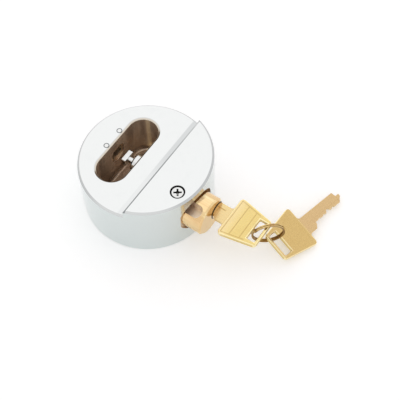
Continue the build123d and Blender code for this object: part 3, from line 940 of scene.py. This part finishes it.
@dataclass(frozen=True)
class FlatKey:
    """A flat brass key. Sizes are in millimetres, in the key's own plane, with the blade's shoulder at 0.

    Attributes:
        node: The key's node.
        place: Where its shoulder is in the frame.
        turn: How it is turned in the frame.
        face: What the bow's face carries.
        neck_l: From the shoulder to the bow.
        bow_l: The bow's length.
        inner_w: The bow's width at the neck.
        outer_w: The bow's width at its far end.
        shift: How far the bow lies to one side.
        bar: The width of the bar outside the slot.
        slot_w: The width of the slot in the bow, along the key.
        slot_l: The length of that slot, across the key.
        line_places: Where the lines across the bow are.
        line_w: Half their width.
        line_depth: How deep they are cut.
        border: How far the border line lies inside the outline.
        slot_clear: How far before the slot it ends.
        edge_inner: Where the painted highlight along the edge starts, going outwards to the outline, which is
            0.
        edge_outer: Where it ends, going outwards.
        neck_fade: How far the neck's colour takes to fade.
        pale_x: Where the bow's pale end by the neck fades.
        cut_x: Where the blade's fresh cuts end, going towards the bow.
        cut_y: Where they end, going across the blade.
        dent_depth: How deep the dents are.
        top: The height of the bow's face.
    """

    node: str
    place: Point
    turn: Euler
    face: BowFace
    neck_l: float = 7.0
    bow_l: float = 21.4
    inner_w: float = 25.5
    outer_w: float = 17.0
    shift: float = 0.6
    bar: float = 1.5
    slot_w: float = 4.9
    slot_l: float = 13.4
    line_places: Span = (13.2, 18.7)
    line_w: float = 0.13
    line_depth: float = 0.12
    border: float = 1.5
    slot_clear: float = 0.8
    edge_inner: Span = (-0.6, -0.4)
    edge_outer: Span = (-0.06, -0.02)
    neck_fade: float = 0.3
    pale_x: Span = (8.0, 15.0)
    cut_x: Span = (-0.5, 0.0)
    cut_y: Span = (-1.9, -1.5)
    dent_depth: float = 0.01
    top: Span = (0.9, 1.1)

    def build(self) -> None:
        """Dresses the key."""
        dress([self.node], self.brass())

    def brass(self) -> bpy.types.Material:
        """Stamped brass: a painted highlight along its edges, cut lines on the bow's face, fresh cuts on the
        blade.

        Returns:
            The material.
        """
        graph = Graph.material(f"{self.node}_brass")
        spot = graph.spot(self.place, self.turn)
        colour, roughness, height = KEY_BRASS.coat(graph, spot)
        bow_end = self.neck_l + self.bow_l
        taper = (self.inner_w - self.outer_w) / 2 / self.bow_l
        middle = abs(spot.y - self.shift)
        side = (middle + (spot.x - self.neck_l) * taper - self.inner_w / 2) * (1 / math.hypot(1, taper))
        outline = side.or_more(self.neck_l - spot.x).or_more(spot.x - bow_end)
        slot_x = bow_end - self.bar - self.slot_w / 2
        slot = (abs(spot.x - slot_x) - self.slot_w / 2).or_more(middle - self.slot_l / 2)
        edge = outline.or_more(-1.0 * slot)
        on_bow = spot.x.over(self.neck_l, self.neck_fade)
        # painted highlight along the bow's outline and its slot's edges
        bright = edge.rise(*self.edge_inner) * edge.fall(*self.edge_outer) * on_bow
        # lines across the bow and a border that follows its outline
        on_face = spot.z.rise(*self.top)
        within = outline.fall(-self.border - SOFT, -self.border + SOFT)
        first, second = (spot.x.band(place, self.line_w, SOFT) for place in self.line_places)
        before_slot = spot.x.under(slot_x - self.slot_w / 2 - self.slot_clear, 0.4)
        border = outline.band(-self.border, self.line_w, SOFT) * before_slot
        cut = (first.or_more(second) * within).or_more(border) * on_face * self.face.value
        # the blade's cuts and grooves are freshly milled
        fresh = spot.x.fall(*self.cut_x) * spot.y.fall(*self.cut_y)
        dents = graph.noise(spot, Grain.DENTS)
        colour = graph.layers(colour, [
            ((1.0 - on_bow) * 0.6, NECK_BRASS),
            (on_bow * spot.x.fall(*self.pale_x) * (0.6 * self.face.value), PALE_BRASS),
            (bright * 0.8, KEY_EDGE_HIGHLIGHT),
            (cut * 0.65, KEY_LINE),
            (fresh * 0.5, PALE_BRASS),
        ])
        roughness = roughness + cut * 0.15 - bright * 0.1 + (dents - 0.5) * 0.05
        height = height - cut * self.line_depth + dents * self.dent_depth
        return graph.metal(colour, roughness, graph.relief(height, depth=0.5))


@dataclass(frozen=True)
class KeyPair:
    """The key in the plug and the spare key. Sizes are in millimetres, turns in degrees.

    Attributes:
        plug_key: Where the first key's shoulder is.
        spare_middle: The point of the spare key at the inner end of its bow.
        spare_turn: How the spare key is turned about x, y and z.
    """

    plug_key: Point = (45.0, 1.5, 20.6)
    spare_middle: Point = (83.29, 26.54, 4.9)
    spare_turn: Angles = (17.2, 4.8, 77.7)

    def build(self) -> None:
        """Dresses both keys."""
        FlatKey("plug_key", self.plug_key, Euler((0, 0, 0)), BowFace.LINED).build()
        tip, pitch, yaw = (
            Matrix.Rotation(math.radians(angle), 3, axis) for angle, axis in zip(self.spare_turn, "XYZ")
        )
        turn = yaw @ pitch @ tip
        place = Vector(self.spare_middle) + turn @ Vector((FlatKey.neck_l, -FlatKey.shift, 0))
        upside_down = Matrix.Diagonal((-1, 1, -1))
        FlatKey("spare_key", tuple(place), (turn @ upside_down).to_euler(), BowFace.PLAIN).build()


@dataclass(frozen=True)
class SplitRing:
    """The flat wire ring that holds both keys. Sizes are in millimetres, turns in degrees.

    Attributes:
        centre: Its middle.
        turn_y: How its axis is turned about y.
        turn_z: How it is turned about z after that.
        outer_r: Its outer radius.
        crown_w: How wide its bright crown is.
        crown_patches: How much of the crown is bright, by its patches' noise.
        drawn_depth: How deep the fine lines round the wire are.
    """

    centre: Point = (72.82, 7.74, 14.59)
    turn_y: float = 0.6
    turn_z: float = -47.05
    outer_r: float = 9.0
    crown_w: float = 0.12
    crown_patches: Ramp = Ramp(0.35, 0.6, 0.6, 1.0)
    drawn_depth: float = 0.006

    def build(self) -> None:
        """Dresses the ring in dark bronze, with a bright crown in patches."""
        graph = Graph.material("ring_bronze")
        yaw = Matrix.Rotation(math.radians(self.turn_z), 3, "Z")
        pitch = Matrix.Rotation(math.radians(self.turn_y), 3, "Y")
        spot = graph.spot(self.centre, (yaw @ pitch).to_euler())
        colour, roughness, height = BRONZE.coat(graph, spot)
        crown_patches = self.crown_patches.of(graph.noise(spot, Grain.PATCHES))
        crown = spot.from_axis("x").rise(self.outer_r - self.crown_w, self.outer_r - HAIR) * crown_patches
        colour = graph.blend(crown * 0.8, colour, RING_CROWN)
        drawn_lines_and_reflections = graph.noise(spot, Grain.ROUND_THE_WIRE) * self.drawn_depth
        dress(["split_ring"], graph.metal(colour, roughness, graph.relief(height + drawn_lines_and_reflections, depth=0.5)))


@dataclass(frozen=True)
class Studio:
    """A pale table under a large soft lamp, with a warm grey card to one side. Lengths are in metres.

    Attributes:
        table_w: The table's width.
        table_base: How pale it is.
        table_glow: What it adds where the camera looks, to be white outside the shadow.
        lamp_place: Where the lamp hangs.
        lamp_aim: What it points at.
        lamp_w: Its width.
        lamp_power: Its power in watts.
        sky: How bright the sky is where it only lights the scene.
        card_place: The middle of the card.
        card_aim: What it faces.
        card_w: Its width.
        card_base: Its colour.
        card_glow: The light that it gives by itself.
    """

    table_w: float = 8.0
    table_base: Colour = (0.95, 0.95, 0.95)
    table_glow: float = 0.28
    lamp_place: Point = (-0.45, 0.62, 1.15)
    lamp_aim: Point = (0.02, 0.0, 0.02)
    lamp_w: float = 2.4
    lamp_power: float = 4.0
    sky: float = 0.72
    card_place: Point = (0.231, 0.296, 0.522)
    card_aim: Point = (0.03, 0.0, 0.02)
    card_w: float = 0.42
    card_base: Colour = (0.30, 0.27, 0.26)
    card_glow: Colour = (0.68, 0.60, 0.61)

    def build(self) -> None:
        """Makes the table, the card, the lamp and the sky."""
        self.table()
        self.card()
        self.lamp()
        self.world()
        log.info("the studio is lit")

    def lamp(self) -> None:
        """Hangs the lamp."""
        lamp = bpy.data.lights.new("soft_lamp", "AREA")
        lamp.shape = "SQUARE"
        lamp.size = self.lamp_w
        lamp.energy = self.lamp_power
        holder = bpy.data.objects.new("soft_lamp", lamp)
        bpy.context.scene.collection.objects.link(holder)
        holder.location = self.lamp_place
        holder.rotation_euler = self.facing(self.lamp_place, self.lamp_aim, away=True).to_euler()

    @staticmethod
    def facing(place: Point, aim: Point, away: bool = False) -> Quaternion:
        """Turns a piece's z axis towards a point, or away from it, as a lamp's is."""
        view = Vector(place) - Vector(aim) if away else Vector(aim) - Vector(place)
        return view.to_track_quat("Z", "Y")

    def world(self) -> None:
        """Makes a white sky, a little dimmer where it only lights the scene."""
        world = bpy.data.worlds.new("soft_sky")
        bpy.context.scene.world = world
        graph = Graph(world)
        strength = self.sky + graph.seen() * (1.0 - self.sky)
        sky = graph.node("ShaderNodeBackground", values={"Color": (1.0, 1.0, 1.0, 1.0), "Strength": strength})
        graph.node("ShaderNodeOutputWorld", values={0: sky.outputs[0]})

    def sheet(self, name: str, width: float, place: Matrix, material: bpy.types.Material) -> bpy.types.Object:
        """Makes one flat stage piece.

        Args:
            name: What it is called.
            width: Its width.
            place: Where it stands.
            material: What it is made of.

        Returns:
            The piece.
        """
        mesh = bmesh.new()
        bmesh.ops.create_grid(mesh, x_segments=1, y_segments=1, size=width / 2, matrix=place)
        piece = add_piece(name, mesh, material)
        return piece

    def table(self) -> None:
        """Makes the pale table, which shows white where no shadow falls."""
        graph = Graph.material("table_white")
        material = graph.surface({
            "Base Color": (*self.table_base, 1.0),
            "Roughness": 0.9,
            "Specular IOR Level": 0.1,
            "Emission Color": (1.0, 1.0, 1.0, 1.0),
            "Emission Strength": graph.seen() * self.table_glow,
        })
        self.sheet("table", self.table_w, Matrix.Identity(4), material)

    def card(self) -> None:
        """Holds a warm card over the table for the brass to mirror, out of the camera's sight."""
        material = Graph.material("warm_card").surface({
            "Base Color": (*self.card_base, 1.0),
            "Roughness": 0.9,
            "Emission Color": (*self.card_glow, 1.0),
            "Emission Strength": 1.0,
        })
        turn = self.facing(self.card_place, self.card_aim).to_matrix().to_4x4()
        piece = self.sheet("warm_card", self.card_w, Matrix.Translation(self.card_place) @ turn, material)
        piece.visible_camera = False


@dataclass(frozen=True)
class PhotoCamera:
    """The camera, fitted to the lock's circles and edges. Angles are in radians, lengths in metres.

    Attributes:
        azimuth: From the y axis, about z.
        elevation: Above the table.
        roll: About its own axis.
        distance: From its target.
        target: What it looks at.
        focal_share: Its focal length over the picture's width.
        sensor_mm: The width of its sensor in millimetres.
        clip: The nearest and the farthest that it sees.
    """

    azimuth: float = 0.6352998
    elevation: float = 1.0300340
    roll: float = -0.0389873
    distance: float = 0.5627045
    target: Point = (0.0316544, 0.0041912, 0.015)
    focal_share: float = 1045.757 / 400
    sensor_mm: float = 36.0
    clip: Span = (0.01, 50.0)

    def build(self) -> None:
        """Makes the camera and hands it to the scene."""
        forward = Vector((
            -math.sin(self.azimuth) * math.cos(self.elevation),
            math.cos(self.azimuth) * math.cos(self.elevation),
            -math.sin(self.elevation),
        ))
        level = Vector((math.cos(self.azimuth), math.sin(self.azimuth), 0))
        upright = level.cross(forward)
        right = math.cos(self.roll) * level + math.sin(self.roll) * upright
        up = math.cos(self.roll) * upright - math.sin(self.roll) * level
        lens = bpy.data.cameras.new("photo_camera")
        lens.sensor_fit = "HORIZONTAL"
        lens.sensor_width = self.sensor_mm
        lens.lens = self.focal_share * self.sensor_mm
        lens.clip_start, lens.clip_end = self.clip
        holder = bpy.data.objects.new("photo_camera", lens)
        bpy.context.scene.collection.objects.link(holder)
        turned = Matrix((right, up, -forward)).transposed().to_4x4()
        holder.matrix_world = Matrix.Translation(Vector(self.target) - forward * self.distance) @ turned
        bpy.context.scene.camera = holder


def main() -> None:
    """Builds every part of the scene in order."""
    logging.basicConfig(level=logging.INFO, format="%(message)s")
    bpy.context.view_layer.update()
    for part in (Case(), Plunger(), KeyPair(), SplitRing(), Studio(), PhotoCamera()):
        part.build()
    bpy.context.scene.view_settings.view_transform = "Standard"


if __name__ == "__main__":
    main()
